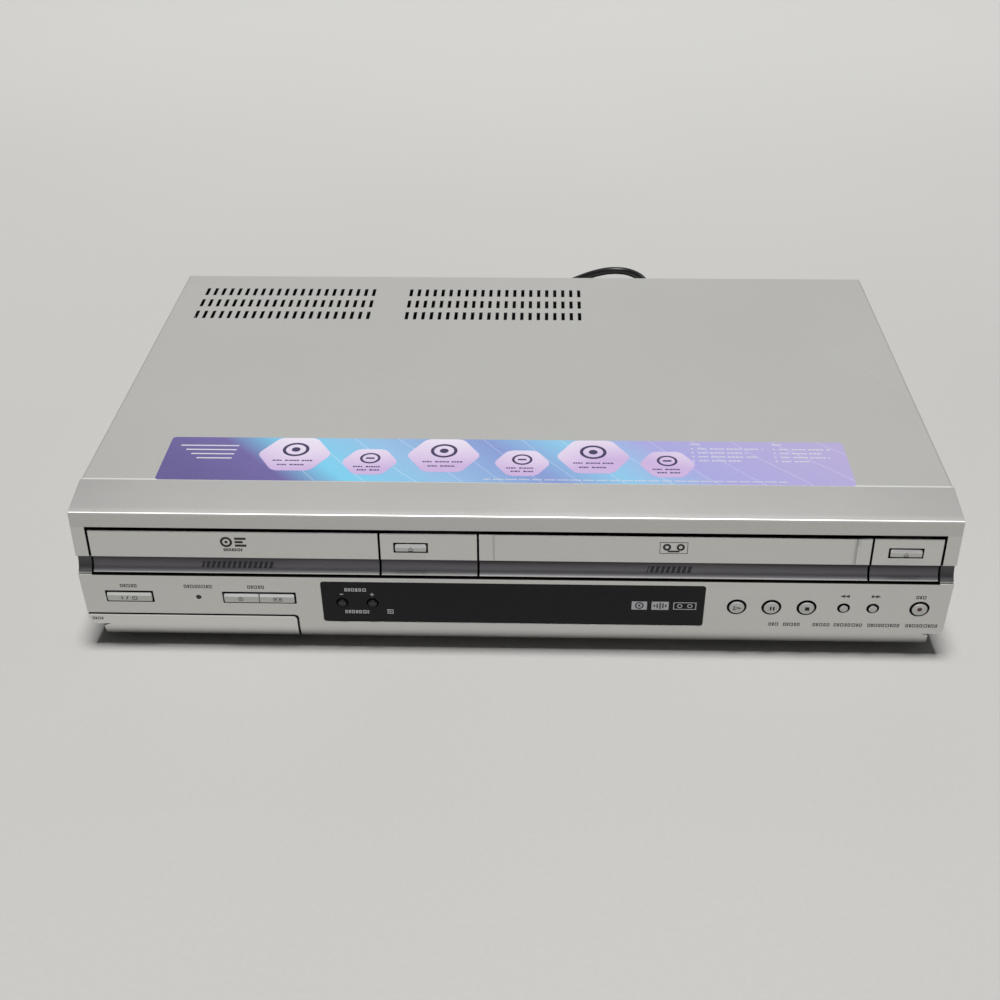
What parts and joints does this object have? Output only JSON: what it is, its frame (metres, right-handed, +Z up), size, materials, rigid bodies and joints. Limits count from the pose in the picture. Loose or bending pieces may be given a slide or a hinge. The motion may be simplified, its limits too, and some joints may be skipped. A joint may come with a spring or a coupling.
{
  "type": "dvd vcr combo player",
  "caption": "Wide, low silver disc and tape player with a disc tray door, a cassette slot door, a dark display window, front buttons, a socket flap and a mains lead.",
  "frame": {"origin": "centre of the set's footprint at the level of the feet's undersides, without the mains lead", "axes": "+Z up, -Y towards the front panel, +X towards the viewer's right when facing the front"},
  "size_m": [0.434, 0.4926, 0.086],
  "materials": {
    "silver_paint": "satin silver paint on steel sheet",
    "silver_plastic": "satin silver paint on moulded plastic",
    "groove_grey": "dark grey moulded trim",
    "smoked_window": "smoked acrylic, nearly black",
    "key_silver": "bright silver paint on plastic keys",
    "black_plastic": "black moulded plastic",
    "foot_black": "matt black feet",
    "zinc_steel": "zinc-plated steel sheet",
    "screw_steel": "dark plated screws",
    "circuit_board": "green laminate with parts",
    "display_glass": "fluorescent display tube",
    "nickel": "nickel-plated sockets",
    "tray_plastic": "dark grey disc tray",
    "gear_nylon": "ivory nylon",
    "polished_drum": "turned aluminium",
    "spring_steel": "spring wire",
    "roller_rubber": "black rubber roller",
    "cord_pvc": "black flexible sheath"
  },
  "bodies": {
    "housing": {"top_cover": "silver_paint", "bottom_chassis": "zinc_steel", "rear_panel": "zinc_steel", "feet": "foot_black", "front_bezel": "silver_plastic", "groove_ends": "groove_grey", "display_window": "smoked_window", "dvd_eject_panel": "silver_plastic", "vhs_eject_panel": "silver_plastic", "progressive_lamp": "black_plastic", "front_jacks": "black_plastic", "cover_screws": "screw_steel", "key_board": "circuit_board", "display_tube": "display_glass", "main_board": "circuit_board", "power_board": "circuit_board", "rear_jacks": "nickel", "tuner_module": "zinc_steel", "loader_frame": "black_plastic", "loading_motor": "zinc_steel", "clamp_bridge": "zinc_steel", "deck_plate": "zinc_steel", "lower_drum": "polished_drum", "power_cord": "cord_pvc", "cord_coil": "cord_pvc", "power_plug": "cord_pvc", "cord_gland": "cord_pvc"},
    "tray": {"disc_tray": "tray_plastic", "tray_door": "silver_plastic"},
    "tray_gear": {"tray_gear": "gear_nylon"},
    "traverse": {"traverse_frame": "zinc_steel"},
    "turntable": {"turntable": "black_plastic"},
    "pickup": {"pickup_sled": "black_plastic"},
    "clamper": {"disc_clamper": "black_plastic"},
    "tape_door": {"vhs_door": "silver_plastic", "vhs_door_spring": "spring_steel"},
    "jack_door": {"front_jack_door": "silver_plastic"},
    "carrier_slider": {"carrier_slider": "zinc_steel"},
    "carrier": {"cassette_carrier": "zinc_steel"},
    "head_drum": {"head_drum": "polished_drum"},
    "capstan": {"capstan": "polished_drum"},
    "pinch_arm": {"pinch_arm": "zinc_steel"},
    "pinch_roller": {"pinch_roller": "roller_rubber"},
    "supply_reel": {"supply_reel": "gear_nylon"},
    "takeup_reel": {"takeup_reel": "gear_nylon"},
    "supply_guide": {"supply_guide": "polished_drum"},
    "takeup_guide": {"takeup_guide": "polished_drum"},
    "power_button": {"power_button": "key_silver"},
    "dvd_select_button": {"dvd_select_button": "key_silver"},
    "video_select_button": {"video_select_button": "key_silver"},
    "channel_down_button": {"channel_down_button": "black_plastic"},
    "channel_up_button": {"channel_up_button": "black_plastic"},
    "play_button": {"play_button": "key_silver"},
    "pause_button": {"pause_button": "key_silver"},
    "stop_button": {"stop_button": "key_silver"},
    "rewind_button": {"rewind_button": "key_silver"},
    "fast_forward_button": {"fast_forward_button": "key_silver"},
    "record_button": {"record_button": "key_silver"},
    "dvd_eject_button": {"dvd_eject_button": "key_silver"},
    "vhs_eject_button": {"vhs_eject_button": "key_silver"}
  },
  "joints": [
    {"name": "tray_slide", "type": "slide", "parent": "housing", "child": "tray", "axis": [0, -1, 0], "range_m": [0, 0.135]},
    {"name": "tray_gear_spin", "type": "hinge", "parent": "housing", "child": "tray_gear", "pos_m": [-0.0983, -0.1015, 0.05], "axis": [0, 0, 1], "range_deg": [-650, 5]},
    {"name": "traverse_swing", "type": "hinge", "parent": "housing", "child": "traverse", "pos_m": [-0.1363, 0.04, 0.0459], "axis": [1, 0, 0], "range_deg": [0, 5]},
    {"name": "turntable_spin", "type": "hinge", "parent": "traverse", "child": "turntable", "pos_m": [-0.1363, -0.069, 0.055], "axis": [0, 0, 1], "continuous": true},
    {"name": "pickup_slide", "type": "slide", "parent": "traverse", "child": "pickup", "axis": [0, 1, 0], "range_m": [0, 0.033]},
    {"name": "clamper_spin", "type": "hinge", "parent": "housing", "child": "clamper", "pos_m": [-0.1363, -0.069, 0.064], "axis": [0, 0, 1], "continuous": true},
    {"name": "tape_door_swing", "type": "hinge", "parent": "housing", "child": "tape_door", "pos_m": [0.0784, -0.1372, 0.0781], "axis": [1, 0, 0], "range_deg": [0, 92], "stiffness_Nm_per_rad": 0.01, "springref_deg": -17.19},
    {"name": "jack_door_swing", "type": "hinge", "parent": "housing", "child": "jack_door", "pos_m": [-0.16165, -0.1305, 0.009], "axis": [1, 0, 0], "range_deg": [0, 75]},
    {"name": "carrier_slide", "type": "slide", "parent": "housing", "child": "carrier_slider", "axis": [0, 1, 0], "range_m": [0, 0.046]},
    {"name": "carrier_drop", "type": "slide", "parent": "carrier_slider", "child": "carrier", "axis": [0, 0, -1], "range_m": [0, 0.02]},
    {"name": "drum_spin", "type": "hinge", "parent": "housing", "child": "head_drum", "pos_m": [0.0784, 0.042, 0.0252], "axis": [0, 0.0872, 0.9962], "continuous": true},
    {"name": "capstan_spin", "type": "hinge", "parent": "housing", "child": "capstan", "pos_m": [0.1304, 0.004, 0.02], "axis": [0, 0, 1], "continuous": true},
    {"name": "pinch_swing", "type": "hinge", "parent": "housing", "child": "pinch_arm", "pos_m": [0.1534, 0.014, 0.026], "axis": [0, 0, 1], "range_deg": [0, 40]},
    {"name": "pinch_roller_spin", "type": "hinge", "parent": "pinch_arm", "child": "pinch_roller", "pos_m": [0.13849, 0.01952, 0.036], "axis": [0, 0, 1], "continuous": true},
    {"name": "supply_reel_spin", "type": "hinge", "parent": "housing", "child": "supply_reel", "pos_m": [0.0322, -0.066, 0.03], "axis": [0, 0, 1], "continuous": true},
    {"name": "takeup_reel_spin", "type": "hinge", "parent": "housing", "child": "takeup_reel", "pos_m": [0.1246, -0.066, 0.03], "axis": [0, 0, 1], "continuous": true},
    {"name": "supply_guide_slide", "type": "slide", "parent": "housing", "child": "supply_guide", "axis": [-0.262, 0.9651, 0], "range_m": [0, 0.0725]},
    {"name": "takeup_guide_slide", "type": "slide", "parent": "housing", "child": "takeup_guide", "axis": [0.262, 0.9651, 0], "range_m": [0, 0.0725]},
    {"name": "power_press", "type": "slide", "parent": "housing", "child": "power_button", "axis": [0, 0.9943, 0.1064], "range_m": [0, 0.001], "stiffness_N_per_m": 300, "springref_m": -0.0005},
    {"name": "dvd_select_press", "type": "slide", "parent": "housing", "child": "dvd_select_button", "axis": [0, 0.9943, 0.1064], "range_m": [0, 0.001], "stiffness_N_per_m": 300, "springref_m": -0.0005},
    {"name": "video_select_press", "type": "slide", "parent": "housing", "child": "video_select_button", "axis": [0, 0.9943, 0.1064], "range_m": [0, 0.001], "stiffness_N_per_m": 300, "springref_m": -0.0005},
    {"name": "channel_down_press", "type": "slide", "parent": "housing", "child": "channel_down_button", "axis": [0, 0.9943, 0.1064], "range_m": [0, 0.001], "stiffness_N_per_m": 300, "springref_m": -0.0005},
    {"name": "channel_up_press", "type": "slide", "parent": "housing", "child": "channel_up_button", "axis": [0, 0.9943, 0.1064], "range_m": [0, 0.001], "stiffness_N_per_m": 300, "springref_m": -0.0005},
    {"name": "play_press", "type": "slide", "parent": "housing", "child": "play_button", "axis": [0, 0.9943, 0.1064], "range_m": [0, 0.001], "stiffness_N_per_m": 300, "springref_m": -0.0005},
    {"name": "pause_press", "type": "slide", "parent": "housing", "child": "pause_button", "axis": [0, 0.9943, 0.1064], "range_m": [0, 0.001], "stiffness_N_per_m": 300, "springref_m": -0.0005},
    {"name": "stop_press", "type": "slide", "parent": "housing", "child": "stop_button", "axis": [0, 0.9943, 0.1064], "range_m": [0, 0.001], "stiffness_N_per_m": 300, "springref_m": -0.0005},
    {"name": "rewind_press", "type": "slide", "parent": "housing", "child": "rewind_button", "axis": [0, 0.9943, 0.1064], "range_m": [0, 0.001], "stiffness_N_per_m": 300, "springref_m": -0.0005},
    {"name": "fast_forward_press", "type": "slide", "parent": "housing", "child": "fast_forward_button", "axis": [0, 0.9943, 0.1064], "range_m": [0, 0.001], "stiffness_N_per_m": 300, "springref_m": -0.0005},
    {"name": "record_press", "type": "slide", "parent": "housing", "child": "record_button", "axis": [0, 0.9943, 0.1064], "range_m": [0, 0.001], "stiffness_N_per_m": 300, "springref_m": -0.0005},
    {"name": "dvd_eject_press", "type": "slide", "parent": "housing", "child": "dvd_eject_button", "axis": [0, 1, 0], "range_m": [0, 0.001], "stiffness_N_per_m": 300, "springref_m": -0.0005},
    {"name": "vhs_eject_press", "type": "slide", "parent": "housing", "child": "vhs_eject_button", "axis": [0, 1, 0], "range_m": [0, 0.001], "stiffness_N_per_m": 300, "springref_m": -0.0005}
  ],
  "couplings": [
    {"joint": "tray_gear_spin", "follows": "tray_slide", "rad_per_m": -83.333},
    {"joint": "takeup_guide_slide", "follows": "supply_guide_slide", "ratio": 1}
  ]
}
